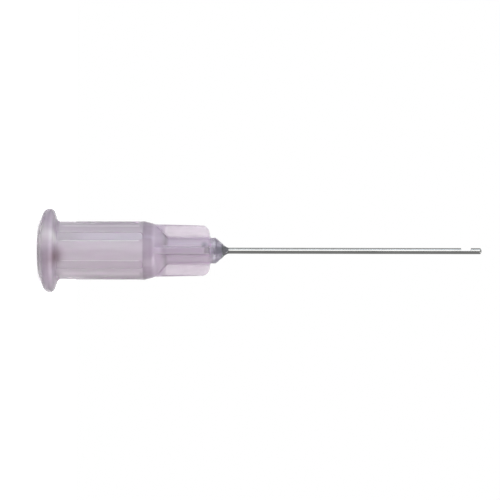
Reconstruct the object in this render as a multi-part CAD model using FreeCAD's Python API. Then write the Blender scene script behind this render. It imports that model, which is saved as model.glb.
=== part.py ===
"""Side-vented irrigation needle: a moulded hub, a steel cannula and the bead that bonds them.

Z runs along the axis from the mouth of the hub to the closed tip. The origin is the centre of the mouth,
and the needle stands on the flat lip round it. One fin and one rib face -Y, and the side slot faces -X.
"""

import FreeCAD, Part

import math
import os

from FreeCAD import Vector

# Cannula: 24 gauge stainless tube with a closed, domed tip and a slot in its side
cannula_d = 0.57
cannula_bore_d = 0.31
cannula_start_z = 11.70  # where it stops against the step inside the hub
cannula_length = 29.55  # from that step to the top of the dome
tip_dome_height = 0.14
tip_plug_length = 0.85  # solid steel behind the top of the dome
slot_length = 0.92
slot_depth = 0.275  # from the side of the tube to just short of its axis
slot_to_tip = 1.00  # from the far end of the slot to the top of the dome

# Socket that pushes onto a syringe cone, with a six per cent taper
socket_mouth_d = 4.30
socket_taper = 0.06
socket_depth = 10.25
funnel_angle = 75.0  # half angle of the shallow funnel below the socket
passage_d = 0.44  # opening between the funnel and the cannula
guide_clearance = 0.0125  # radial room for the cannula in its guide hole

# Lip and lock rim round the mouth
lip_d = 4.70
rim_d = 7.80
rim_rear_angle = 20.0  # how far the rear face leans from square to the axis
rim_rear_round = 0.60
rim_front_angle = 18.0
rim_front_z = 1.77  # where the front face would meet the barrel
rim_front_round = 0.45
rim_root_fillet = 0.25

# Barrel with six flat grooves that leave wide ribs between them
barrel_d = 5.48
barrel_end_z = 9.80
groove_count = 6
groove_width = 0.80
groove_depth = 0.13
groove_start_z = 1.80
groove_end_z = 9.78

# Collar past the barrel, then the step and the shoulder down to the core
collar_end_d = 5.08
collar_end_z = 10.60
shoulder_d = 4.88
shoulder_z = 10.84
shoulder_angle = 45.0  # half angle of the shoulder cone

# Core and its four fins
core_root_d = 2.42
core_end_d = 2.38
fin_count = 4
fin_root_d = 4.88
fin_end_d = 4.64
fin_end_z = 15.77
fin_end_rise = 0.22  # the end face leans forward this far on its way in to the core
fin_corner_round = 0.60
fin_crest_thickness = 0.56
fin_foot_thickness = 0.92
fin_crest_round = 0.10

# Nose with its glue well
nose_start_z = 16.47
nose_angle = 40.0  # half angle of the nose cone
nose_end_d = 1.26
well_d = 1.08
well_depth = 1.00
bead_margin = 0.01  # bare edge left round the bead
bead_height = 0.50  # how far the meniscus climbs the cannula
bead_sag = 0.045  # how hollow the meniscus is

# Sizes worked out from the ones above
cannula_r = cannula_d / 2
guide_r = cannula_r + guide_clearance
passage_r = passage_d / 2
tip_z = cannula_start_z + cannula_length
barrel_r = barrel_d / 2
core_root_r = core_root_d / 2
core_end_r = core_end_d / 2
nose_end_r = nose_end_d / 2
well_r = well_d / 2
nose_end_z = nose_start_z + (core_end_r - nose_end_r) / math.tan(math.radians(nose_angle))


def point(radius, z):
    """A point of a profile, in the half plane that is spun round the axis."""
    return Vector(radius, 0, z)


def rounded_wire(corners):
    """A closed wire through (point, radius) corners, each rounded by an arc of its radius."""
    edges = []
    previous_end = None
    first_start = None
    for n, (corner, radius) in enumerate(corners):
        before = corners[n - 1][0]
        after = corners[(n + 1) % len(corners)][0]
        if radius == 0:
            start = corner
            end = corner
            arc = None
        else:
            towards_before = (before - corner).normalize()
            towards_after = (after - corner).normalize()
            half_angle = towards_before.getAngle(towards_after) / 2
            reach = radius / math.tan(half_angle)
            start = corner + towards_before * reach
            end = corner + towards_after * reach
            bisector = (towards_before + towards_after).normalize()
            middle = corner + bisector * (radius / math.sin(half_angle) - radius)
            arc = Part.Arc(start, middle, end).toShape()
        if previous_end is None:
            first_start = start
        else:
            edges.append(Part.makeLine(previous_end, start))
        if arc:
            edges.append(arc)
        previous_end = end
    edges.append(Part.makeLine(previous_end, first_start))
    return Part.Wire(edges)


def spun(wire):
    """The solid that a profile sweeps in a full turn round Z."""
    return Part.Face(wire).revolve(Vector(0, 0, 0), Vector(0, 0, 1), 360)


def turned_copies(shape, count):
    """Copies of a shape, evenly spaced round Z."""
    copies = []
    for n in range(count):
        copy = shape.copy()
        copy.rotate(Vector(0, 0, 0), Vector(0, 0, 1), 360 * n / count)
        copies.append(copy)
    return copies


def hub_body():
    """The hub's turned form, from the lip and lock rim to the end of the nose, still without its bore."""
    lip_r = lip_d / 2
    rim_r = rim_d / 2
    rear_z = (rim_r - lip_r) * math.tan(math.radians(rim_rear_angle))
    front_z = rim_front_z - (rim_r - barrel_r) * math.tan(math.radians(rim_front_angle))
    shoulder_r = shoulder_d / 2
    shoulder_foot_z = shoulder_z + (shoulder_r - core_root_r) / math.tan(math.radians(shoulder_angle))
    profile = rounded_wire([
        (point(0, 0), 0),
        (point(lip_r, 0), 0),
        (point(rim_r, rear_z), rim_rear_round),
        (point(rim_r, front_z), rim_front_round),
        (point(barrel_r, rim_front_z), rim_root_fillet),
        (point(barrel_r, barrel_end_z), 0),
        (point(collar_end_d / 2, collar_end_z), 0),
        (point(shoulder_r, shoulder_z), 0),
        (point(core_root_r, shoulder_foot_z), 0),
        (point(core_end_r, nose_start_z), 0),
        (point(nose_end_r, nose_end_z), 0),
        (point(0, nose_end_z), 0),
    ])
    return spun(profile)


def fin():
    """One drafted fin on +X: its side outline with a rounded corner, cut to its wedge-shaped section."""
    start_z = shoulder_z
    bury = core_end_r / 2
    outline = rounded_wire([
        (point(bury, start_z), 0),
        (point(fin_root_d / 2, start_z), 0),
        (point(fin_end_d / 2, fin_end_z), fin_corner_round),
        (point(core_end_r, fin_end_z + fin_end_rise), 0),
        (point(bury, fin_end_z + fin_end_rise), 0),
    ])
    plate = Part.Face(outline).extrude(Vector(0, fin_foot_thickness * 2, 0))
    plate.translate(Vector(0, -fin_foot_thickness, 0))
    crest_x = fin_root_d / 2
    crest_y = fin_crest_thickness / 2
    foot_y = fin_foot_thickness / 2
    section = rounded_wire([
        (Vector(bury, -foot_y, start_z), 0),
        (Vector(core_end_r, -foot_y, start_z), 0),
        (Vector(crest_x, -crest_y, start_z), fin_crest_round),
        (Vector(crest_x, crest_y, start_z), fin_crest_round),
        (Vector(core_end_r, foot_y, start_z), 0),
        (Vector(bury, foot_y, start_z), 0),
    ])
    wedge = Part.Face(section).extrude(Vector(0, 0, fin_end_z + fin_end_rise - start_z))
    return plate.common(wedge)


def groove_cutter():
    """A slot-shaped cutter on +X that leaves a flat groove with a round far end in the barrel."""
    floor_r = barrel_r - groove_depth
    half = groove_width / 2
    outline = rounded_wire([
        (Vector(floor_r, -half, groove_start_z), 0),
        (Vector(floor_r, half, groove_start_z), 0),
        (Vector(floor_r, half, groove_end_z), half * 0.999),
        (Vector(floor_r, -half, groove_end_z), half * 0.999),
    ])
    return Part.Face(outline).extrude(Vector(groove_depth * 3, 0, 0))


def hub_bore():
    """Everything open along the hub's axis: socket, funnel, passage, guide hole and glue well."""
    mouth_r = socket_mouth_d / 2
    floor_r = mouth_r - socket_depth * socket_taper / 2
    funnel_end_z = socket_depth + (floor_r - passage_r) / math.tan(math.radians(funnel_angle))
    profile = rounded_wire([
        (point(0, 0), 0),
        (point(mouth_r, 0), 0),
        (point(floor_r, socket_depth), 0),
        (point(passage_r, funnel_end_z), 0),
        (point(passage_r, cannula_start_z), 0),
        (point(guide_r, cannula_start_z), 0),
        (point(guide_r, nose_end_z - well_depth), 0),
        (point(well_r, nose_end_z), 0),
        (point(0, nose_end_z), 0),
    ])
    return spun(profile)


def make_hub():
    """The moulded hub, in one piece."""
    hub = hub_body().fuse(turned_copies(fin(), fin_count)).removeSplitter()
    grooves = turned_copies(groove_cutter(), groove_count)
    for groove in grooves:
        groove.rotate(Vector(0, 0, 0), Vector(0, 0, 1), 180 / groove_count - 90)
    return hub.cut(grooves).cut(hub_bore())


def make_cannula():
    """The drawn tube with its welded dome and the slot ground into its -X side."""
    shaft_end_z = tip_z - tip_dome_height
    dome_r = (cannula_r**2 + tip_dome_height**2) / (2 * tip_dome_height)
    dome_turn = math.asin(cannula_r / dome_r) / 2
    dome_middle = point(dome_r * math.sin(dome_turn), tip_z - dome_r * (1 - math.cos(dome_turn)))
    profile = Part.Wire([
        Part.makeLine(point(0, cannula_start_z), point(cannula_r, cannula_start_z)),
        Part.makeLine(point(cannula_r, cannula_start_z), point(cannula_r, shaft_end_z)),
        Part.Arc(point(cannula_r, shaft_end_z), dome_middle, point(0, tip_z)).toShape(),
        Part.makeLine(point(0, tip_z), point(0, cannula_start_z)),
    ])
    bore_length = cannula_length - tip_plug_length
    bore = Part.makeCylinder(cannula_bore_d / 2, bore_length, Vector(0, 0, cannula_start_z))
    slot_end_z = tip_z - slot_to_tip
    slot = Part.makeBox(
        slot_depth * 2,
        cannula_d * 2,
        slot_length,
        Vector(-cannula_r - slot_depth, -cannula_d, slot_end_z - slot_length),
    )
    return spun(profile).cut([bore, slot])


def make_adhesive():
    """The bead that fills the glue well and climbs the cannula in a hollow meniscus."""
    well_floor_z = nose_end_z - well_depth
    bead_r = nose_end_r - bead_margin
    edge = point(bead_r, nose_end_z)
    peak = point(cannula_r, nose_end_z + bead_height)
    along = (peak - edge).normalize()
    inwards = Vector(-along.z, 0, along.x)
    if inwards.z > 0:
        inwards = inwards * -1
    middle = (edge + peak) * 0.5 + inwards * bead_sag
    profile = Part.Wire([
        Part.makeLine(point(cannula_r, well_floor_z), point(guide_r, well_floor_z)),
        Part.makeLine(point(guide_r, well_floor_z), point(well_r, nose_end_z)),
        Part.makeLine(point(well_r, nose_end_z), edge),
        Part.Arc(edge, middle, peak).toShape(),
        Part.makeLine(peak, point(cannula_r, well_floor_z)),
    ])
    return spun(profile)


os.makedirs("parts", exist_ok=True)
pieces = {
    "hub": make_hub(),
    "cannula": make_cannula(),
    "adhesive": make_adhesive(),
}
for name, shape in pieces.items():
    shape.exportStep("parts/" + name + ".step")
    print(name, "solids", len(shape.Solids), "valid", shape.isValid(), "volume", round(shape.Volume, 3))
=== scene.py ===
"""Looks of a side-vented irrigation needle: a moulded hub, a steel cannula and the bead that bonds them.

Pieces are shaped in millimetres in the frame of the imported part, then written out in metres. Z runs from the
mouth of the hub to the closed tip, one fin and one rib face -Y, and the side slot faces -X.
"""

import logging
import math
from dataclasses import dataclass, field
from enum import Enum
from typing import Callable, Iterable, Mapping, Optional, Sequence, Tuple, Union

import bmesh
import bpy
from mathutils import Matrix, Vector


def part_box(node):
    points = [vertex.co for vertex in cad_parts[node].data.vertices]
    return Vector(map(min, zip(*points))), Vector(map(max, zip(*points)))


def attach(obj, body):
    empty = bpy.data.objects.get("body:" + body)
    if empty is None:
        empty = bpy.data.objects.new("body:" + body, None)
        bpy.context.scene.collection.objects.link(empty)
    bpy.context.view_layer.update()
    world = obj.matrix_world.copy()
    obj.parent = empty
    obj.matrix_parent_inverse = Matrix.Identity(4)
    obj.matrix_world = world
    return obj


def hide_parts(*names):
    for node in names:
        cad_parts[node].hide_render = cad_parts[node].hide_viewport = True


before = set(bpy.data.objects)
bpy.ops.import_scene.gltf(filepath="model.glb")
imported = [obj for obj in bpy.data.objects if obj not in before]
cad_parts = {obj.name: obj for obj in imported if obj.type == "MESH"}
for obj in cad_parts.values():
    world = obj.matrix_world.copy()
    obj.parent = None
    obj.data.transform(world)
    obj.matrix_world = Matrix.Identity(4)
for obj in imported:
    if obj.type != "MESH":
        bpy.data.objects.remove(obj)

MM = 0.001
BODY = "root"
AXIS = Vector((0.0, 0.0, 1.0))
ORIGIN = Vector((0.0, 0.0, 0.0))
TOUCHING = 1e-5
ON_PLANE = 1e-6
NOISE_MIDDLE = 0.5

Range = Tuple[float, float]
Triple = Tuple[float, float, float]
Colour = Tuple[float, float, float, float]
Inputs = Mapping[Union[int, str], object]
Value = Union[float, "Signal"]

log = logging.getLogger("irrigation_needle")


class Cut(Enum):
    """How one solid works on another."""

    JOIN = "UNION"
    REMOVE = "DIFFERENCE"


class Rounding(Enum):
    """What a rounding is laid on."""

    POINTS = "VERTICES"
    EDGES = "EDGES"


class Axis(Enum):
    """The coordinates of a point, in the order of a vector's parts."""

    X = 0
    Y = 1
    Z = 2


class Finish(Enum):
    """Place of a finish in a piece's list of materials, after the piece's own at 0."""

    BONDED = 1


@dataclass(frozen=True)
class Corner:
    """One corner of a profile, in millimetres.

    Args:
        radius: distance from the axis.
        height: place along the axis.
        reach: how far the rounding runs along each side from the corner; 0 leaves it sharp.
        segments: how many flats the rounding has.
    """

    radius: float
    height: float
    reach: float = 0.0
    segments: int = 4


class Workpiece:
    """A bmesh that a piece is shaped from, in millimetres for the needle and in metres for the floor."""

    def __init__(self, mesh: Optional[bpy.types.Mesh] = None) -> None:
        """Start empty, or from a mesh.

        Args:
            mesh: what to start from, already in millimetres.
        """
        self.mesh = bmesh.new()
        if mesh is not None:
            self.mesh.from_mesh(mesh)

    def outline(self, corners: Sequence[Corner]) -> None:
        """Lay a closed outline in the half plane through +X, with its corners rounded.

        Args:
            corners: the outline's corners in order.
        """
        vertices = [self.mesh.verts.new((c.radius, 0.0, c.height)) for c in corners]
        for n, vertex in enumerate(vertices):
            self.mesh.edges.new((vertices[n - 1], vertex))
        for corner, vertex in zip(corners, vertices):
            if corner.reach > 0.0:
                self.round_off([vertex], corner.reach, corner.segments, Rounding.POINTS)

    def round_off(
        self,
        parts: Sequence[Union[bmesh.types.BMVert, bmesh.types.BMEdge]],
        reach: float,
        segments: int,
        on: Rounding,
        keep_apart: bool = False,
    ) -> None:
        """Round the corners of an outline or the edges of a solid.

        Args:
            parts: the points or edges.
            reach: how far the rounding runs from each of them.
            segments: how many flats the rounding has.
            on: whether the parts are points or edges.
            keep_apart: stop where two roundings would meet.
        """
        bmesh.ops.bevel(
            self.mesh, geom=list(parts), offset=reach, offset_type="OFFSET", affect=on.value,
            segments=segments, profile=0.5, material=-1, clamp_overlap=keep_apart,
        )

    def turn(self, steps: int) -> None:
        """Spin the outline once round the axis into a closed skin.

        Args:
            steps: how many flats the full turn has.
        """
        bmesh.ops.spin(
            self.mesh, geom=self.mesh.verts[:] + self.mesh.edges[:], cent=ORIGIN, axis=AXIS, dvec=ORIGIN,
            angle=math.tau, steps=steps, use_merge=True, use_duplicate=False,
        )
        self.close()

    def close(self) -> None:
        """Merge doubles and point every face outwards."""
        bmesh.ops.remove_doubles(self.mesh, verts=self.mesh.verts[:], dist=TOUCHING)
        bmesh.ops.dissolve_degenerate(self.mesh, edges=self.mesh.edges[:], dist=TOUCHING)
        bmesh.ops.recalc_face_normals(self.mesh, faces=self.mesh.faces[:])

    def repeat(self, count: int, first_angle: float = 0.0) -> None:
        """Turn everything to a first angle and copy it evenly round the axis.

        Args:
            count: how many there are in all.
            first_angle: where the first one goes, in radians from +X.
        """
        bmesh.ops.rotate(
            self.mesh, verts=self.mesh.verts[:], cent=ORIGIN, matrix=Matrix.Rotation(first_angle, 3, "Z")
        )
        first = self.mesh.verts[:] + self.mesh.edges[:] + self.mesh.faces[:]
        for n in range(1, count):
            copy = bmesh.ops.duplicate(self.mesh, geom=first)["geom"]
            vertices = [part for part in copy if isinstance(part, bmesh.types.BMVert)]
            bmesh.ops.rotate(
                self.mesh, verts=vertices, cent=ORIGIN, matrix=Matrix.Rotation(math.tau * n / count, 3, "Z")
            )

    def soften(self, angle: float) -> None:
        """Shade smooth everywhere except across sharp edges.

        Args:
            angle: from how many radians on an edge is sharp.
        """
        for face in self.mesh.faces:
            face.smooth = True
        for edge in self.mesh.edges:
            edge.smooth = len(edge.link_faces) == 2 and edge.calc_face_angle(0.0) < angle

    def divide(self, place: Vector, square_to: Vector) -> None:
        """Divide the faces along the plane through a place and square to a direction."""
        parts = self.mesh.verts[:] + self.mesh.edges[:] + self.mesh.faces[:]
        bmesh.ops.bisect_plane(self.mesh, geom=parts, dist=ON_PLANE, plane_co=place, plane_no=square_to)

    def finish_faces(self, finish: Finish, chosen: Callable[[Vector], bool]) -> None:
        """Give a finish to some of the faces.

        Args:
            finish: the one that they get.
            chosen: a test that a face's centre has to pass.
        """
        for face in self.mesh.faces:
            if chosen(face.calc_center_median()):
                face.material_index = finish.value

    def to_mesh(self, name: str, scale: float = 1.0) -> bpy.types.Mesh:
        """Write the shape to a new mesh and free the bmesh.

        Args:
            name: what the mesh is called.
            scale: MM for a mesh in metres; 1 keeps millimetres.

        Returns:
            The new mesh.
        """
        bmesh.ops.scale(self.mesh, vec=Vector((scale, scale, scale)), verts=self.mesh.verts[:])
        mesh = bpy.data.meshes.new(name)
        self.mesh.to_mesh(mesh)
        self.mesh.free()
        return mesh


def new_object(mesh: bpy.types.Mesh) -> bpy.types.Object:
    """Link a mesh to the scene as an object at the origin.

    Args:
        mesh: the mesh, which also gives its name.

    Returns:
        The object.
    """
    piece = bpy.data.objects.new(mesh.name, mesh)
    bpy.context.scene.collection.objects.link(piece)
    return piece


def worked(body: bpy.types.Mesh, tool: bpy.types.Mesh, how: Cut) -> bpy.types.Mesh:
    """Join a tool's solid to a body's, or cut it away.

    Args:
        body: the mesh that is worked on.
        tool: the mesh that works on it.
        how: join or remove.

    Returns:
        A new mesh that holds the result.
    """
    body_object = new_object(body)
    tool_object = new_object(tool)
    modifier = body_object.modifiers.new("work", "BOOLEAN")
    modifier.operation = how.value
    modifier.solver = "EXACT"
    modifier.object = tool_object
    graph = bpy.context.evaluated_depsgraph_get()
    result = bpy.data.meshes.new_from_object(body_object.evaluated_get(graph))
    for spare in (body_object, tool_object):
        bpy.data.objects.remove(spare)
    return result


class Signal:
    """A shader socket that Python's arithmetic works on."""

    def __init__(self, bench: "Bench", socket: bpy.types.NodeSocket) -> None:
        """Remember the socket and the bench that it belongs to."""
        self.bench = bench
        self.socket = socket

    def maths(self, operation: str, first: Value, second: Value = 0.0) -> "Signal":
        """Add one Math node."""
        return self.bench.add("ShaderNodeMath", {"operation": operation}, {0: first, 1: second})

    def __add__(self, other: Value) -> "Signal":
        """Sum."""
        return self.maths("ADD", self, other)

    def __radd__(self, other: Value) -> "Signal":
        """Sum, with the signal on the right."""
        return self.maths("ADD", other, self)

    def __sub__(self, other: Value) -> "Signal":
        """Difference."""
        return self.maths("SUBTRACT", self, other)

    def __rsub__(self, other: Value) -> "Signal":
        """Difference, with the signal on the right."""
        return self.maths("SUBTRACT", other, self)

    def __mul__(self, other: Value) -> "Signal":
        """Product."""
        return self.maths("MULTIPLY", self, other)

    def __rmul__(self, other: Value) -> "Signal":
        """Product, with the signal on the right."""
        return self.maths("MULTIPLY", other, self)

    def __pow__(self, exponent: float) -> "Signal":
        """Power."""
        return self.maths("POWER", self, exponent)

    def __abs__(self) -> "Signal":
        """Size without its sign."""
        return self.maths("ABSOLUTE", self)

    def above(self, floor: float) -> "Signal":
        """The signal, or a floor where it falls below that."""
        return self.maths("MAXIMUM", self, floor)

    def below(self, ceiling: float) -> "Signal":
        """The signal, or a ceiling where it rises above that."""
        return self.maths("MINIMUM", self, ceiling)

    def clamped(self) -> "Signal":
        """The signal, kept between 0 and 1."""
        return self.above(0.0).below(1.0)


class Bench:
    """The node tree of one material or world; a Mix node's colours go by number, as its names repeat."""

    mix_colours: Tuple[int, int] = (6, 7)
    mix_result: int = 2

    def __init__(self, tree: bpy.types.NodeTree) -> None:
        """Clear the tree."""
        self.tree = tree
        tree.nodes.clear()

    def add(
        self,
        kind: str,
        settings: Optional[Mapping[str, object]] = None,
        inputs: Optional[Inputs] = None,
        output: Union[int, str] = 0,
    ) -> Signal:
        """Add any node.

        Args:
            kind: the node's type.
            settings: its own settings, set first.
            inputs: a value or a signal for each named or numbered socket.
            output: which output is returned.

        Returns:
            The chosen output.
        """
        node = self.tree.nodes.new(kind)
        for name, value in (settings or {}).items():
            setattr(node, name, value)
        for key, value in (inputs or {}).items():
            if isinstance(value, Signal):
                self.tree.links.new(value.socket, node.inputs[key])
            else:
                node.inputs[key].default_value = value
        return Signal(self, node.outputs[output])

    def millimetres(self, along: float = 1.0) -> Signal:
        """Object coordinates in millimetres, those along the needle's axis times a factor."""
        place = self.add("ShaderNodeTexCoord", output="Object")
        return self.add("ShaderNodeMapping", {}, {"Vector": place, "Scale": Vector((1.0, 1.0, along)) / MM})

    def noise(self, place: Signal, scale: float, detail: float = 2.0, distortion: float = 0.0) -> Signal:
        """Cloudy noise from 0 to 1, with about that many blobs in each unit of place."""
        return self.add(
            "ShaderNodeTexNoise", {},
            {"Vector": place, "Scale": scale, "Detail": detail, "Distortion": distortion},
        )

    def part(self, vector: Signal, axis: Axis) -> Signal:
        """One coordinate of a vector."""
        return self.add("ShaderNodeSeparateXYZ", {}, {0: vector}, output=axis.value)

    def radius(self, place: Signal) -> Signal:
        """Distance from the needle's axis."""
        flat = self.add("ShaderNodeVectorMath", {"operation": "MULTIPLY"}, {0: place, 1: (1.0, 1.0, 0.0)})
        return self.add("ShaderNodeVectorMath", {"operation": "LENGTH"}, {0: flat}, output="Value")

    def distance(self, place: Signal, centre: Triple) -> Signal:
        """Distance from a point."""
        inputs = {0: place, 1: centre}
        return self.add("ShaderNodeVectorMath", {"operation": "DISTANCE"}, inputs, output="Value")

    def ramp(self, value: Signal, low: float, high: float) -> Signal:
        """A smooth step from 0 at the low value to 1 at the high one."""
        return self.add(
            "ShaderNodeMapRange", {"interpolation_type": "SMOOTHSTEP"},
            {"Value": value, "From Min": low, "From Max": high},
        )

    def mixed(self, share: Signal, first: Signal, second: Signal) -> Signal:
        """A shader that goes from the first to the second as share goes from 0 to 1."""
        return self.add("ShaderNodeMixShader", {}, {0: share, 1: first, 2: second})

    def blend(self, share: Signal, first: Union[Colour, Signal], second: Union[Colour, Signal]) -> Signal:
        """A colour that goes from the first to the second as share goes from 0 to 1."""
        inputs = {"Factor": share, **dict(zip(self.mix_colours, (first, second)))}
        return self.add("ShaderNodeMix", {"data_type": "RGBA"}, inputs, output=self.mix_result)

    def bump(self, height: Signal, strength: float, distance: float) -> Signal:
        """A normal that follows a height, with its full relief in metres."""
        return self.add("ShaderNodeBump", {}, {"Height": height, "Strength": strength, "Distance": distance})

    def principled(self, inputs: Inputs) -> Signal:
        """The general surface shader."""
        return self.add("ShaderNodeBsdfPrincipled", {}, inputs)

    def surface(self, shader: Signal) -> None:
        """Send a shader to the surface output."""
        self.add_output("ShaderNodeOutputMaterial", shader)

    def add_output(self, kind: str, shader: Signal) -> None:
        """Add an output node and link a shader to it."""
        node = self.tree.nodes.new(kind)
        self.tree.links.new(shader.socket, node.inputs["Surface"])


def new_material(name: str) -> Tuple[bpy.types.Material, Bench]:
    """Make an empty material.

    Args:
        name: what it is called.

    Returns:
        The material and the bench that its nodes are added on.
    """
    material = bpy.data.materials.new(name)
    material.use_nodes = True
    return material, Bench(material.node_tree)


@dataclass(frozen=True)
class PaintedSpot:
    """Soft painted spot of light or shade on the hub: a painted highlight where its tint is pale, painted
    shade where it is dark.

    Args:
        centre: its middle, in millimetres.
        reach: how far it fades out from there.
        tint: its colour in the middle.
    """

    centre: Triple
    reach: float
    tint: Colour

    def mask(self, bench: Bench, place: Signal) -> Signal:
        """A signal that fades from 1 in the spot's middle to 0 at its reach."""
        return bench.ramp(bench.distance(place, self.centre), self.reach, 0.0)


@dataclass(frozen=True)
class PaintedLine:
    """Thin painted line along the hub's -Y side: a painted highlight where its tint is pale, painted shade
    where it is dark, along the barrel's groove lips and streaks and the front fin's flanks.

    Args:
        place: where it runs across X, in millimetres.
        width: how far it fades out to each side.
        strength: how much of its colour shows, up to 1.
        tint: its colour.
        start: where it begins along the axis.
        end: where it stops.
        run_in: how far it fades at its start.
        run_out: how far it fades at its end.
        front: the Y at which it is gone, and the Y at which it shows in full.
    """

    place: float
    width: float
    strength: float
    # Dark by default: painted shade.
    tint: Colour = (0.45, 0.38, 0.46, 1.0)
    start: float = 2.3
    end: float = 9.45
    run_in: float = 0.3
    run_out: float = 0.1
    front: Range = (0.0, -0.5)

    def mask(self, bench: Bench, place: Signal) -> Signal:
        """Build the line's mask.

        Args:
            bench: where the nodes go.
            place: object coordinates in millimetres.

        Returns:
            A signal that is the line's strength in its middle and 0 off it.
        """
        height = bench.part(place, Axis.Z)
        across = bench.ramp(abs(bench.part(place, Axis.X) - self.place), self.width, 0.0)
        along = bench.ramp(height, self.start - self.run_in, self.start + self.run_in)
        along = along * bench.ramp(height, self.end + self.run_out, self.end - self.run_out)
        return across * along * bench.ramp(bench.part(place, Axis.Y), *self.front) * self.strength


@dataclass(frozen=True)
class HubMasks:
    """Signals from 0 to 1 that pick out parts of the hub, its thick plastic, and streaks of flow in it."""

    neck: Signal
    fins: Signal
    solid: Signal
    crest: Signal
    nose: Signal
    flow: Signal


@dataclass(frozen=True)
class MouldedPolypropylene:
    """Translucent lilac plastic: clear enough to see through where it is thin, milky where it is thick, with
    painted spots and lines of light and shade on it.
    """

    name: str = "lilac_polypropylene"
    thin: Colour = (0.87, 0.785, 0.87, 1.0)
    thick: Colour = (0.74, 0.64, 0.76, 1.0)
    deep: Colour = (0.50, 0.42, 0.51, 1.0)
    nose: Colour = (0.74, 0.71, 0.82, 1.0)
    cloud_shift: float = 0.10
    roughness: float = 0.11
    roughness_range: float = 0.07
    nose_roughness: float = 0.16
    index: float = 1.49
    milk_thin: float = 0.62
    milk_thick: float = 0.82
    milk_fins: float = 0.27
    milk_nose: float = 0.16
    edge_clearing: float = 0.5
    neck_clouding: float = 0.8
    milk_range: float = 0.12
    scatter_depth: float = 1.0
    scatter_tint: Triple = (1.0, 0.85, 1.0)
    noise_detail: float = 3.0
    cloud_scale: float = 0.45
    cloud_distortion: float = 0.8
    flow_scale: float = 2.4
    flow_stretch: float = 0.2
    grain_scale: float = 16.0
    grain_relief: float = 0.0015
    grain_strength: float = 0.5
    neck: Range = (9.7, 10.3)
    collar_start: Range = (9.65, 9.85)
    collar_end: Range = (10.9, 10.4)
    collar_depth: float = 0.70
    rim_back: Range = (1.35, 1.0)
    rim_back_depth: float = 0.7
    rim_root: Range = (2.1, 1.5)
    rim_depth: float = 0.7
    fin_foot: Range = (11.2, 12.1)
    core: Range = (1.15, 1.5)
    fin_crest: Range = (2.26, 2.34)
    milk_crest: float = 0.60
    # How strong the painted shade on the side and back fins' crests is.
    crest_shade: float = 0.75
    side_fins: Range = (-1.2, -0.8)
    nose_start: Range = (15.7, 16.5)
    # Painted highlight on the rim's upper rear, where light falls from above.
    painted_rim_light: PaintedSpot = PaintedSpot(centre=(-1.4, -3.2, 0.2), reach=1.9, tint=(1.0, 0.93, 0.97, 1.0))
    # Painted shade at the rim's front root below the barrel, where the barrel shades it.
    painted_rim_shade: PaintedSpot = PaintedSpot(centre=(0.58, -2.98, 1.42), reach=1.55, tint=(0.34, 0.24, 0.28, 1.0))
    # Painted shade at the end of the front fin.
    painted_fin_end_shade: PaintedSpot = PaintedSpot(centre=(-0.58, -1.05, 15.45), reach=0.50, tint=(0.42, 0.38, 0.46, 1.0))
    # Painted highlight at the rim's front root above the barrel.
    painted_rim_highlight: PaintedSpot = PaintedSpot(centre=(-1.24, -2.88, 1.25), reach=1.05, tint=(1.0, 1.0, 0.96, 1.0))
    # Painted highlights (pale tints) and painted shade (dark tints) on the barrel's groove lips and streaks,
    # then on the front fin's flanks.
    painted_lines: Tuple[PaintedLine, ...] = (
        PaintedLine(place=-2.50, width=0.14, strength=0.35),
        PaintedLine(place=-2.27, width=0.09, strength=0.55, tint=(1.0, 0.95, 1.0, 1.0)),
        PaintedLine(place=-2.08, width=0.10, strength=0.25),
        PaintedLine(place=2.14, width=0.28, strength=0.40, tint=(0.97, 0.86, 0.96, 1.0)),
        PaintedLine(place=-1.00, width=0.07, strength=0.7),
        PaintedLine(place=-0.91, width=0.07, strength=1.0, tint=(1.0, 0.97, 1.0, 1.0)),
        PaintedLine(place=0.95, width=0.07, strength=0.6, tint=(1.0, 0.97, 1.0, 1.0)),
        PaintedLine(place=1.15, width=0.10, strength=0.3),
        PaintedLine(0.34, 0.13, strength=1.0, tint=(0.40, 0.33, 0.41, 1.0), start=11.6, end=15.9),
        PaintedLine(-0.42, 0.14, strength=0.6, tint=(0.95, 0.86, 0.95, 1.0), start=11.6, end=15.2),
    )

    def masks(self, bench: Bench, place: Signal) -> HubMasks:
        """Find the hub's parts by their height and radius.

        Args:
            bench: where the nodes go.
            place: object coordinates in millimetres.

        Returns:
            The masks.
        """
        height = bench.part(place, Axis.Z)
        radius = bench.radius(place)
        cloud = bench.noise(place, self.cloud_scale, self.noise_detail, self.cloud_distortion)
        neck = bench.ramp(height, *self.neck)
        fins = bench.ramp(height, *self.fin_foot) * bench.ramp(radius, *self.core)
        solid = neck - fins + bench.ramp(height, *self.rim_root) * self.rim_depth
        return HubMasks(
            neck=neck,
            fins=fins,
            solid=(solid + (cloud - NOISE_MIDDLE) * self.cloud_shift).clamped(),
            crest=fins * bench.ramp(radius, *self.fin_crest),
            nose=bench.ramp(height, *self.nose_start),
            flow=bench.noise(bench.millimetres(self.flow_stretch), self.flow_scale, self.noise_detail),
        )

    def colour(self, bench: Bench, place: Signal, masks: HubMasks) -> Tuple[Signal, Signal]:
        """Tint the hub by how thick it is, and lay on it its painted spots and lines of light and shade and
        the painted shade on the fin crests.

        Args:
            bench: where the nodes go.
            place: object coordinates in millimetres.
            masks: where the hub's parts lie.

        Returns:
            The colour, and a mask of the painted highlight and painted lines, which are too milky to see
            through.
        """
        height = bench.part(place, Axis.Z)
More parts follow.
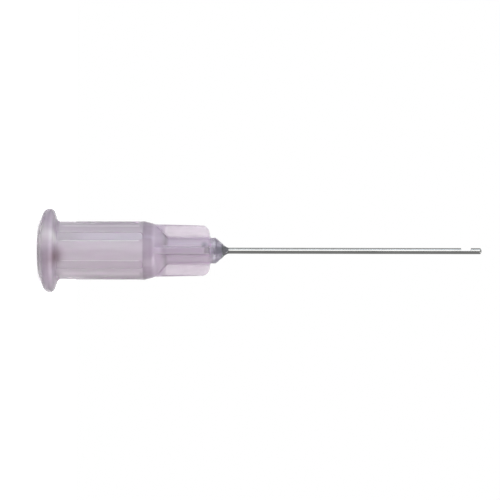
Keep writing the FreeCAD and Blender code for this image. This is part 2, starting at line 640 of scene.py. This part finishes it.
        # Painted shade on the crests of the side and back fins, where the side fins are seen edge on.
        painted_crest_shade = masks.crest * bench.ramp(bench.part(place, Axis.Y), *self.side_fins)
        collar = bench.ramp(height, *self.collar_start) * bench.ramp(height, *self.collar_end)
        deep = collar * self.collar_depth + bench.ramp(height, *self.rim_back) * self.rim_back_depth
        tint = bench.blend((masks.solid + masks.crest).clamped(), self.thin, self.thick)
        tint = bench.blend(painted_crest_shade * self.crest_shade, tint, self.deep)
        tint = bench.blend(deep, tint, self.deep)
        tint = bench.blend(masks.nose, tint, self.nose)
        # Painted light and shade: a painted highlight on the rim's upper rear, painted shade at the rim's
        # front root below the barrel and at the front fin's end.
        for painted_spot in (self.painted_rim_light, self.painted_rim_shade, self.painted_fin_end_shade):
            tint = bench.blend(painted_spot.mask(bench, place), tint, painted_spot.tint)
        # Painted highlight at the rim's front root; it and the painted lines are made milky throughout.
        painted_marks = self.painted_rim_highlight.mask(bench, place)
        tint = bench.blend(painted_marks, tint, self.painted_rim_highlight.tint)
        # Painted lines of highlight and shade on the -Y side.
        for line in self.painted_lines:
            seen = line.mask(bench, place)
            tint = bench.blend(seen, tint, line.tint)
            painted_marks = painted_marks + seen
        return tint, painted_marks.clamped()

    def milkiness(self, bench: Bench, masks: HubMasks, painted_marks: Signal) -> Signal:
        """Work out how much of the light is scattered instead of let through.

        Args:
            bench: where the nodes go.
            masks: where the hub's parts lie.
            painted_marks: a mask of the painted highlight and painted lines, which are milky throughout.

        Returns:
            The milky share, less where the plastic is seen edge on.
        """
        share = (
            self.milk_thin + masks.solid * (self.milk_thick - self.milk_thin)
            + (masks.flow - NOISE_MIDDLE) * self.milk_range - masks.fins * (self.milk_thin - self.milk_fins)
        )
        share = share + masks.crest * (self.milk_crest - share)
        share = share - masks.nose * (share - self.milk_nose)
        share = share + painted_marks * (1.0 - share)
        facing = bench.add("ShaderNodeLayerWeight", output="Facing")
        clearing = facing * facing * self.edge_clearing * (1.0 - masks.neck * self.neck_clouding)
        return share * (1.0 - clearing)

    def make(self) -> bpy.types.Material:
        """Build the material.

        Returns:
            The material: a clear and a milky shader, mixed by how milky the plastic is.
        """
        material, bench = new_material(self.name)
        place = bench.millimetres()
        masks = self.masks(bench, place)
        tint, painted_marks = self.colour(bench, place, masks)
        grain = bench.noise(place, self.grain_scale, self.noise_detail)
        roughness = self.roughness + masks.flow * self.roughness_range + masks.nose * self.nose_roughness
        shared = {
            "Base Color": tint,
            "Roughness": roughness,
            "IOR": self.index,
            "Normal": bench.bump(grain, self.grain_strength, self.grain_relief * MM),
        }
        clear = bench.principled({**shared, "Transmission Weight": 1.0})
        milky = bench.principled({
            **shared,
            "Subsurface Weight": 1.0,
            "Subsurface Radius": self.scatter_tint,
            "Subsurface Scale": self.scatter_depth * MM,
        })
        bench.surface(bench.mixed(self.milkiness(bench, masks, painted_marks), clear, milky))
        return material


@dataclass(frozen=True)
class DrawnSteel:
    """Bright drawn stainless tube with fine lines along it; the end that is glued in is dulled by grit
    blasting, and darkened there to near black as painted shade.
    """

    name: str = "drawn_stainless"
    bright: Colour = (0.62, 0.62, 0.605, 1.0)
    dull: Colour = (0.44, 0.44, 0.43, 1.0)
    roughness: float = 0.07
    roughness_range: float = 0.06
    line_scale: float = 42.0
    line_stretch: float = 0.012
    line_relief: float = 0.0006
    line_strength: float = 0.5
    wear_scale: float = 1.6
    wear_stretch: float = 0.25
    wear_detail: float = 3.0
    # Dull grey of the grit-blast end, darkened to near black: painted shade where the steel lies inside the
    # nose and bead.
    blasted_and_shaded: Colour = (0.09, 0.09, 0.11, 1.0)
    blasted_roughness: float = 0.25
    blasted_end: Range = (17.75, 17.55)

    def make(self) -> bpy.types.Material:
        """Build the material.

        Returns:
            The material.
        """
        material, bench = new_material(self.name)
        blasted_and_shaded = bench.ramp(bench.part(bench.millimetres(), Axis.Z), *self.blasted_end)
        lines = bench.noise(bench.millimetres(self.line_stretch), self.line_scale)
        wear = bench.noise(bench.millimetres(self.wear_stretch), self.wear_scale, self.wear_detail)
        shader = bench.principled({
            "Base Color": bench.blend(blasted_and_shaded, bench.blend(wear, self.bright, self.dull), self.blasted_and_shaded),
            "Metallic": 1.0,
            "Roughness": self.roughness + lines * self.roughness_range + blasted_and_shaded * self.blasted_roughness,
            "Normal": bench.bump(lines, self.line_strength, self.line_relief * MM),
        })
        bench.surface(shader)
        return material


@dataclass(frozen=True)
class CuredAdhesive:
    """Clear cured adhesive with a blue-grey cast and a few small bubbles."""

    name: str = "cured_adhesive"
    clear: Colour = (0.54, 0.54, 0.58, 1.0)
    cloudy: Colour = (0.40, 0.40, 0.43, 1.0)
    clarity: float = 0.7
    cloud_scale: float = 2.2
    cloud_detail: float = 3.0
    roughness: float = 0.10
    roughness_range: float = 0.06
    index: float = 1.49
    bubble_scale: float = 7.0
    bubble_relief: float = 0.01
    bubble_strength: float = 0.3

    def make(self) -> bpy.types.Material:
        """Build the material.

        Returns:
            The material.
        """
        material, bench = new_material(self.name)
        place = bench.millimetres()
        cloud = bench.noise(place, self.cloud_scale, self.cloud_detail)
        bubble = bench.add(
            "ShaderNodeTexVoronoi", {"feature": "SMOOTH_F1"}, {"Vector": place, "Scale": self.bubble_scale}
        )
        shader = bench.principled({
            "Base Color": bench.blend(cloud, self.clear, self.cloudy),
            "Roughness": self.roughness + bubble * self.roughness_range,
            "IOR": self.index,
            "Transmission Weight": self.clarity,
            "Normal": bench.bump(bubble, self.bubble_strength, self.bubble_relief * MM),
        })
        bench.surface(shader)
        return material


@dataclass(frozen=True)
class BondedFace:
    """Face where plastic and adhesive have wetted each other: only a few tiny bubbles show in it."""

    name: str = "bonded_face"
    colour: Colour = (0.70, 0.67, 0.76, 1.0)
    roughness: float = 0.4
    bubble_scale: float = 9.0
    most_seen: float = 0.10

    def make(self) -> bpy.types.Material:
        """Build the material.

        Returns:
            The material.
        """
        material, bench = new_material(self.name)
        bubbles = bench.noise(bench.millimetres(), self.bubble_scale)
        shader = bench.principled({
            "Base Color": self.colour,
            "Roughness": self.roughness,
            "Alpha": (bubbles - NOISE_MIDDLE).above(0.0) * self.most_seen,
        })
        bench.surface(shader)
        return material


@dataclass(frozen=True)
class StudioFloor:
    """Plain white floor that the lens, gloss and clear plastic see as white, and that keeps a soft shadow."""

    name: str = "studio_floor"
    white: Colour = (0.86, 0.86, 0.86, 1.0)
    mottled: Colour = (0.85, 0.85, 0.85, 1.0)
    mottle_scale: float = 0.08
    roughness: float = 0.8
    lift: float = 0.95

    def make(self) -> bpy.types.Material:
        """Build the material.

        Returns:
            The material.
        """
        material, bench = new_material(self.name)
        mottle = bench.noise(bench.millimetres(), self.mottle_scale)
        body = bench.principled({
            "Base Color": bench.blend(mottle, self.white, self.mottled),
            "Roughness": self.roughness,
        })
        camera, through, gloss = ray_kinds(bench)
        strength = (camera + through + gloss).below(1.0) * self.lift
        glow = bench.add("ShaderNodeEmission", {}, {"Color": self.white, "Strength": strength})
        bench.surface(bench.add("ShaderNodeAddShader", {}, {0: body, 1: glow}))
        return material


def ray_kinds(bench: Bench) -> Sequence[Signal]:
    """Signals that are 1 for rays from the lens, through clear plastic and in gloss."""
    kinds = ("Is Camera Ray", "Is Transmission Ray", "Is Glossy Ray")
    return [bench.add("ShaderNodeLightPath", output=kind) for kind in kinds]


def box_in_mm(node: str) -> Tuple[Vector, Vector]:
    """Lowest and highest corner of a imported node, in millimetres."""
    low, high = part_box(node)
    return low / MM, high / MM


def dress(mesh: bpy.types.Mesh, node: str, finishes: Iterable[bpy.types.Material]) -> bpy.types.Object:
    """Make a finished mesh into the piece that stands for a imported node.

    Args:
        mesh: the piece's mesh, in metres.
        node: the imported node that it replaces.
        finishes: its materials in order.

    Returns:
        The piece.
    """
    piece = new_object(mesh)
    mesh.materials.clear()
    for material in finishes:
        mesh.materials.append(material)
    piece.modifiers.new("even_shading", "WEIGHTED_NORMAL").keep_sharp = True
    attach(piece, BODY)
    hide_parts(node)
    log.info("%s: %d faces", piece.name, len(mesh.polygons))
    return piece


@dataclass
class NeedleHub:
    """The moulded hub, in millimetres: socket, lock rim, grooved barrel, collar, core, fins and nose."""

    steps: int = 180
    mouth_d: float = 4.30
    taper: float = 0.06
    socket_depth: float = 10.25
    funnel_angle: float = math.radians(75.0)
    passage_d: float = 0.44
    cannula_start: float = 11.70
    guide_clearance: float = 0.0125
    lip_d: float = 4.70
    rim_rear_angle: float = math.radians(20.0)
    rim_front_angle: float = math.radians(18.0)
    rim_front: float = 1.77
    barrel_d: float = 5.48
    barrel_end: float = 9.80
    groove_count: int = 6
    groove_width: float = 0.80
    groove_depth: float = 0.13
    groove_start: float = 1.80
    groove_end: float = 9.78
    groove_lip: float = 0.05
    collar_d: float = 5.08
    collar_end: float = 10.60
    shoulder_d: float = 4.88
    shoulder: float = 10.84
    core_root_d: float = 2.42
    core_end_d: float = 2.38
    fin_count: int = 4
    fin_root_d: float = 4.88
    fin_end_d: float = 4.64
    fin_end: float = 15.77
    fin_rise: float = 0.22
    fin_crest: float = 0.56
    fin_foot: float = 0.92
    nose_start: float = 16.47
    nose_end_d: float = 1.26
    well_d: float = 1.08
    well_depth: float = 1.00
    edge_round: float = 0.04
    rim_rear_reach: float = 0.42
    rim_front_reach: float = 0.33
    rim_root_reach: float = 0.22
    core_root_reach: float = 0.10
    fin_corner_reach: float = 0.55
    fin_crest_reach: float = 0.09
    coarse: int = 6
    fine: int = 10
    fin_bury: float = 0.75
    fin_overlap: float = 0.6
    fin_step: float = 0.05
    crest_margin: float = 0.05
    crest_spread: float = 0.2
    crest_angle: float = math.radians(60.0)
    groove_end_share: float = 0.995
    groove_lip_steps: int = 4
    groove_clearance: float = 0.3
    glue_margin: float = 0.02
    crease: float = math.radians(25.0)
    cut_heights: Tuple[float, ...] = (2.12, 3.0, 4.5, 6.0, 7.5, 9.0, 9.3)
    rim_r: float = field(init=False)
    nose_end: float = field(init=False)
    guide_r: float = field(init=False)

    def __post_init__(self) -> None:
        """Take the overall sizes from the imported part."""
        high = box_in_mm("hub")[1]
        self.rim_r = high.x
        self.nose_end = high.z
        self.guide_r = box_in_mm("cannula")[1].x + self.guide_clearance

    def skin_corners(self) -> Sequence[Corner]:
        """Lay out the hub's closed section.

        Returns:
            Its corners, up the outside to the nose and back down the bore.
        """
        barrel_r = self.barrel_d / 2
        lip_r = self.lip_d / 2
        mouth_r = self.mouth_d / 2
        rear = (self.rim_r - lip_r) * math.tan(self.rim_rear_angle)
        front = self.rim_front - (self.rim_r - barrel_r) * math.tan(self.rim_front_angle)
        foot = self.shoulder + (self.shoulder_d - self.core_root_d) / 2
        floor_r = mouth_r - self.socket_depth * self.taper / 2
        funnel_end = self.socket_depth + (floor_r - self.passage_d / 2) / math.tan(self.funnel_angle)
        small = self.edge_round
        return [
            Corner(mouth_r, 0.0, small),
            Corner(lip_r, 0.0, small),
            Corner(self.rim_r, rear, self.rim_rear_reach, self.fine),
            Corner(self.rim_r, front, self.rim_front_reach, self.fine),
            Corner(barrel_r, self.rim_front, self.rim_root_reach, self.coarse),
            Corner(barrel_r, self.barrel_end, small),
            Corner(self.collar_d / 2, self.collar_end, small),
            Corner(self.shoulder_d / 2, self.shoulder, small),
            Corner(self.core_root_d / 2, foot, self.core_root_reach, self.coarse),
            Corner(self.core_end_d / 2, self.nose_start, small),
            Corner(self.nose_end_d / 2, self.nose_end),
            Corner(self.well_d / 2, self.nose_end),
            Corner(self.guide_r, self.nose_end - self.well_depth),
            Corner(self.guide_r, self.cannula_start),
            Corner(self.passage_d / 2, self.cannula_start),
            Corner(self.passage_d / 2, funnel_end, small),
            Corner(floor_r, self.socket_depth, small),
        ]

    def skin(self) -> bpy.types.Mesh:
        """Spin the hub without its fins and grooves.

        Returns:
            Its mesh in millimetres.
        """
        work = Workpiece()
        work.outline(self.skin_corners())
        work.turn(self.steps)
        return work.to_mesh("hub_skin")

    def crest_edges(self, mesh: bmesh.types.BMesh) -> Sequence[bmesh.types.BMEdge]:
        """Find the edges of a fin's crest.

        Args:
            mesh: one fin on +X.

        Returns:
            The sharp edges outside the core that run along the fin.
        """
        inner = self.core_end_d / 2 + self.crest_margin
        return [
            edge for edge in mesh.edges
            if min(vertex.co.x for vertex in edge.verts) > inner
            and abs(edge.verts[0].co.y - edge.verts[1].co.y) < self.crest_spread
            and edge.calc_face_angle(0.0) > self.crest_angle
        ]

    def fins(self) -> bpy.types.Mesh:
        """Make the fins as drafted plates with rounded corners and crests, rooted inside the core.

        Returns:
            Their mesh in millimetres.
        """
        core_r = self.core_end_d / 2
        crest_r = self.fin_root_d / 2
        bury = core_r * self.fin_bury
        top = self.fin_end + self.fin_rise
        start = self.shoulder - self.fin_overlap
        work = Workpiece()
        work.outline([
            Corner(bury, start),
            Corner(crest_r - self.fin_step, start),
            Corner(crest_r, self.shoulder),
            Corner(self.fin_end_d / 2, self.fin_end, self.fin_corner_reach, self.fine),
            Corner(core_r, top),
            Corner(bury, top),
        ])
        mesh = work.mesh
        side = bmesh.ops.contextual_create(mesh, geom=mesh.edges[:])["faces"]
        grown = bmesh.ops.extrude_face_region(mesh, geom=side)["geom"]
        far = [part for part in grown if isinstance(part, bmesh.types.BMVert)]
        thickness = Vector((0.0, 1.0, 0.0))
        bmesh.ops.translate(mesh, vec=thickness, verts=far)
        bmesh.ops.translate(mesh, vec=-thickness / 2, verts=mesh.verts[:])
        work.divide(Vector((core_r, 0.0, 0.0)), Vector((1.0, 0.0, 0.0)))
        # The plate is 1 mm thick so far, and thins from its foot to its crest here
        for vertex in mesh.verts:
            outward = max(0.0, (vertex.co.x - core_r) / (crest_r - core_r))
            vertex.co.y *= self.fin_foot + (self.fin_crest - self.fin_foot) * outward
        work.close()
        crests = self.crest_edges(mesh)
        work.round_off(crests, self.fin_crest_reach, self.coarse, Rounding.EDGES, keep_apart=True)
        work.repeat(self.fin_count)
        work.close()
        return work.to_mesh("hub_fins")

    def groove_loop(self, work: Workpiece, radius: float, grow: float) -> Sequence[bmesh.types.BMEdge]:
        """Lay the outline of a groove at one radius, with its far end round.

        Args:
            work: the workpiece that the outline is added to.
            radius: distance of the outline's plane from the axis.
            grow: how far the outline stands outside the groove's own.

        Returns:
            The outline's edges.
        """
        mesh = work.mesh
        half = self.groove_width / 2 + grow
        far = self.groove_end + grow
        places = ((-half, self.groove_start), (half, self.groove_start), (half, far), (-half, far))
        vertices = [mesh.verts.new((radius, y, z)) for y, z in places]
        for n, vertex in enumerate(vertices):
            mesh.edges.new((vertices[n - 1], vertex))
        work.round_off(vertices[2:], half * self.groove_end_share, self.fine, Rounding.POINTS)
        return [edge for edge in mesh.edges if all(abs(v.co.x - radius) < TOUCHING for v in edge.verts)]

    def grooves(self) -> bpy.types.Mesh:
        """Make the cutters for the barrel's flat grooves, each with a round far end and eased lips.

        Returns:
            Their mesh in millimetres.
        """
        barrel_r = self.barrel_d / 2
        lip = self.groove_lip
        lip_top = math.sqrt(barrel_r**2 - (self.groove_width / 2 + lip) ** 2)
        turns = [math.pi / 2 * n / self.groove_lip_steps for n in range(self.groove_lip_steps + 1)]
        levels = [(barrel_r - self.groove_depth, 0.0)]
        levels += [(lip_top - lip + lip * math.sin(t), lip - lip * math.cos(t)) for t in turns]
        levels += [(barrel_r + self.groove_clearance, lip)]
        work = Workpiece()
        mesh = work.mesh
        loops = [self.groove_loop(work, radius, grow) for radius, grow in levels]
        for lower, upper in zip(loops, loops[1:]):
            bmesh.ops.bridge_loops(mesh, edges=list(lower) + list(upper))
        for loop in (loops[0], loops[-1]):
            bmesh.ops.contextual_create(mesh, geom=list(loop))
        work.close()
        work.repeat(self.groove_count, first_angle=math.pi / self.groove_count - math.pi / 2)
        return work.to_mesh("hub_grooves")

    def in_glue(self, point: Vector) -> bool:
        """Tell whether a point lies on the wall of the guide hole or the glue well.

        Args:
            point: a place in millimetres.

        Returns:
            True where it does.
        """
        floor = self.nose_end - self.well_depth
        radius = math.hypot(point.x, point.y)
        rise = max(0.0, point.z - floor) / self.well_depth
        wall = self.guide_r + (self.well_d / 2 - self.guide_r) * rise
        return self.cannula_start < point.z < self.nose_end and radius < wall + self.glue_margin

    def make(self) -> bpy.types.Object:
        """Build and dress the hub.

        Returns:
            The finished piece.
        """
        whole = worked(self.skin(), self.fins(), Cut.JOIN)
        whole = worked(whole, self.grooves(), Cut.REMOVE)
        work = Workpiece(whole)
        for height in self.cut_heights:  # rings keep the long faces evenly shaded
            work.divide(AXIS * height, AXIS)
        work.close()
        work.soften(self.crease)
        work.finish_faces(Finish.BONDED, self.in_glue)
        mesh = work.to_mesh("moulded_hub", MM)
        return dress(mesh, "hub", [MouldedPolypropylene().make(), BondedFace().make()])


@dataclass
class Cannula:
    """The steel tube, in millimetres, with its domed tip and side slot."""

    steps: int = 96
    bore_d: float = 0.31
    dome_height: float = 0.14
    plug_length: float = 0.85
    slot_length: float = 0.92
    slot_depth: float = 0.275
    slot_to_tip: float = 1.00
    slot_round: float = 0.03
    slot_flats: int = 4
    edge_round: float = 0.012
    edge_flats: int = 3
    dome_edge: float = 0.03
    dome_reach: float = 0.95
    dome_flats: int = 10
    crease: float = math.radians(40.0)
    radius: float = field(init=False)
    start: float = field(init=False)
    tip: float = field(init=False)

    def __post_init__(self) -> None:
        """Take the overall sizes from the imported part."""
        low, high = box_in_mm("cannula")
        self.radius = high.x
        self.start = low.z
        self.tip = high.z

    def tube(self) -> bpy.types.Mesh:
        """Spin the tube with its blind bore and dome.

        Returns:
            Its mesh in millimetres.
        """
        dome_r = (self.radius**2 + self.dome_height**2) / (2 * self.dome_height)
        turn_in = dome_r * math.tan(math.asin(self.radius / dome_r) / 2)
        bore_end = self.tip - self.plug_length
        work = Workpiece()
        work.outline([
            Corner(self.bore_d / 2, self.start),
            Corner(self.radius, self.start, self.edge_round, self.edge_flats),
            Corner(self.radius, self.tip - self.dome_height, self.dome_edge),
            Corner(turn_in, self.tip, turn_in * self.dome_reach, self.dome_flats),
            Corner(0.0, self.tip),
            Corner(0.0, bore_end),
            Corner(self.bore_d / 2, bore_end),
        ])
        work.turn(self.steps)
        return work.to_mesh("cannula_tube")

    def slot(self) -> bpy.types.Mesh:
        """Make the cutter for the slot, a block with eased corners that is centred on the tube's side.

        Returns:
            Its mesh in millimetres.
        """
        work = Workpiece()
        mesh = work.mesh
        bmesh.ops.create_cube(mesh, size=1.0)
        depth = self.slot_depth * 2
        width = self.radius * 4
        bmesh.ops.scale(mesh, vec=Vector((depth, width, self.slot_length)), verts=mesh.verts[:])
        middle = self.tip - self.slot_to_tip - self.slot_length / 2
        bmesh.ops.translate(mesh, vec=Vector((-self.radius, 0.0, middle)), verts=mesh.verts[:])
        inner = [
            edge for edge in mesh.edges
            if all(v.co.x > -self.radius for v in edge.verts)
            and abs(edge.verts[0].co.y - edge.verts[1].co.y) > self.radius
        ]
        work.round_off(inner, self.slot_round, self.slot_flats, Rounding.EDGES)
        work.close()
        return work.to_mesh("cannula_slot")

    def make(self) -> bpy.types.Object:
        """Build and dress the cannula.

        Returns:
            The finished piece.
        """
        work = Workpiece(worked(self.tube(), self.slot(), Cut.REMOVE))
        work.close()
        work.soften(self.crease)
        return dress(work.to_mesh("steel_cannula", MM), "cannula", [DrawnSteel().make()])


@dataclass
class AdhesiveBead:
    """The bead in the glue well, in millimetres, with its meniscus up the cannula."""

    hub: NeedleHub
    steps: int = 128
    edge_margin: float = 0.01
    height: float = 0.50
    sag: float = 0.045
    sag_reach: float = 0.9
    sag_flats: int = 10
    crease: float = math.radians(40.0)
    inner_r: float = field(init=False)

    def __post_init__(self) -> None:
        """Take the cannula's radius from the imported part."""
        self.inner_r = box_in_mm("cannula")[1].x

    def on_wall(self, point: Vector) -> bool:
        """True for a point on the faces that the plastic or the steel covers."""
        return point.z < self.hub.nose_end or math.hypot(point.x, point.y) < self.inner_r

    def make(self) -> bpy.types.Object:
        """Build and dress the bead.

        Returns:
            The finished piece.
        """
        hub = self.hub
        floor = hub.nose_end - hub.well_depth
        edge = Vector((hub.nose_end_d / 2 - self.edge_margin, hub.nose_end))
        peak = Vector((self.inner_r, hub.nose_end + self.height))
        along = (peak - edge).normalized()
        # The rounding of this corner comes about half as far off the straight line as the corner does
        pull = (edge + peak) / 2 - Vector((along.y, -along.x)) * self.sag * 2
        work = Workpiece()
        work.outline([
            Corner(self.inner_r, floor),
            Corner(hub.guide_r, floor),
            Corner(hub.well_d / 2, hub.nose_end),
            Corner(edge.x, edge.y),
            Corner(pull.x, pull.y, (peak - pull).length * self.sag_reach, self.sag_flats),
            Corner(peak.x, peak.y),
        ])
        work.turn(self.steps)
        work.soften(self.crease)
        work.finish_faces(Finish.BONDED, self.on_wall)
        mesh = work.to_mesh("adhesive_bead", MM)
        return dress(mesh, "adhesive", [CuredAdhesive().make(), BondedFace().make()])


@dataclass(frozen=True)
class Lamp:
    """One soft lamp, placed by bearing and aimed at the middle of the needle.

    Args:
        name: what it is called.
        bearing: degrees from -Y towards -X, seen from above.
        elevation: degrees above the horizon.
        power: watts.
        distance: metres from the needle.
        width: how wide it is in metres.
        height: how tall it is in metres.
        tint: colour of its light.
    """

    name: str
    bearing: float
    elevation: float
    power: float
    distance: float = 0.42
    width: float = 0.28
    height: float = 0.28
    tint: Triple = (1.0, 1.0, 1.0)

    def make(self, target: Vector) -> None:
        """Add the lamp.

        Args:
            target: the point that it is aimed at, in metres.
        """
        bearing = math.radians(self.bearing)
        elevation = math.radians(self.elevation)
        away = Vector((
            -math.sin(bearing) * math.cos(elevation),
            -math.cos(bearing) * math.cos(elevation),
            math.sin(elevation),
        ))
        light = bpy.data.lights.new(self.name, "AREA")
        light.shape = "RECTANGLE"
        light.size = self.width
        light.size_y = self.height
        light.energy = self.power
        light.color = self.tint
        lamp = bpy.data.objects.new(self.name, light)
        lamp.location = target + away * self.distance
        lamp.rotation_mode = "QUATERNION"
        lamp.rotation_quaternion = (-away).to_track_quat("-Z", "Y")
        bpy.context.scene.collection.objects.link(lamp)


@dataclass
class Studio:
    """White floor and surroundings, soft lamps and the camera."""

    image_px: float = 500.0
    px_per_mm: float = 10.73
    mouth_px: float = 38.95
    axis_px: float = 250.85
    roll: float = 0.0020
    camera_distance: float = 0.232
    sensor: float = 36.0
    floor_side: float = 0.10
    floor_gap: float = 0.00002
    floor_squares: int = 8
    lamps: Tuple[Lamp, ...] = (
        Lamp("key", 21.5, 5.0, power=0.40),
        Lamp("strip", 61.0, 22.0, power=0.28, width=0.06, height=0.46, tint=(0.74, 0.87, 1.0)),
        Lamp("fill", -58.0, 38.0, power=0.65, tint=(1.0, 0.96, 0.97)),
    )
    ambient: float = 0.32
    from_slot_side: float = 0.22
    from_above: float = 0.08
    backdrop_edge: float = 8.0

    def make_world(self) -> None:
        """White where it is seen straight, and a plain soft studio for every other ray."""
        world = bpy.data.worlds.new("studio")
        world.use_nodes = True
        bpy.context.scene.world = world
        bench = Bench(world.node_tree)
        way = bench.add("ShaderNodeTexCoord", output="Generated")
        slot_side = (0.0 - bench.part(way, Axis.X)).above(0.0)
        above = bench.part(way, Axis.Z).above(0.0)
        room = self.ambient + slot_side * self.from_slot_side + above * self.from_above
        backdrop = bench.part(way, Axis.Y).above(0.0) ** self.backdrop_edge
        camera, through, gloss = ray_kinds(bench)
        seen = (camera + (through + gloss) * backdrop).below(1.0)
        strength = room * (1.0 - seen) + seen
        bench.add_output(
            "ShaderNodeOutputWorld",
            bench.add("ShaderNodeBackground", {}, {"Color": (1.0, 1.0, 1.0, 1.0), "Strength": strength}),
        )

    def make_floor(self) -> None:
        """Lay the floor that the hub stands on."""
        work = Workpiece()
        squares = self.floor_squares
        bmesh.ops.create_grid(work.mesh, x_segments=squares, y_segments=squares, size=self.floor_side / 2)
        bmesh.ops.translate(work.mesh, vec=AXIS * -self.floor_gap, verts=work.mesh.verts[:])
        mesh = work.to_mesh("floor")
        mesh.materials.append(StudioFloor().make())
        floor = new_object(mesh)

    def middle(self) -> float:
        """Height on the needle's axis that the middle of the picture shows, in metres."""
        return (self.image_px / 2 - self.mouth_px) / self.px_per_mm * MM

    def make_camera(self) -> None:
        """Set up a level camera square to the needle, turned so that the axis runs across the picture."""
        sideways = (self.axis_px - self.image_px / 2) / self.px_per_mm * MM
        data = bpy.data.cameras.new("camera")
        data.sensor_width = self.sensor
        data.lens = self.sensor * self.camera_distance * self.px_per_mm / MM / self.image_px
        camera = bpy.data.objects.new("camera", data)
        right = Vector((0.0, 0.0, 1.0))
        up = Vector((-1.0, 0.0, 0.0))
        level = Matrix((right, up, right.cross(up))).transposed().to_4x4()
        place = Matrix.Translation(Vector((-sideways, -self.camera_distance, self.middle())))
        camera.matrix_world = place @ level @ Matrix.Rotation(self.roll, 4, "Z")
        bpy.context.scene.collection.objects.link(camera)
        bpy.context.scene.camera = camera

    def make(self) -> None:
        """Build the whole studio."""
        bpy.context.scene.view_settings.view_transform = "Standard"
        self.make_world()
        self.make_floor()
        for lamp in self.lamps:
            lamp.make(AXIS * self.middle())
        self.make_camera()


def main() -> None:
    """Build the needle and its studio."""
    logging.basicConfig(level=logging.INFO, format="%(name)s: %(message)s")
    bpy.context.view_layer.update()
    hub = NeedleHub()
    hub.make()
    Cannula().make()
    AdhesiveBead(hub).make()
    Studio().make()


if __name__ == "__main__":
    main()
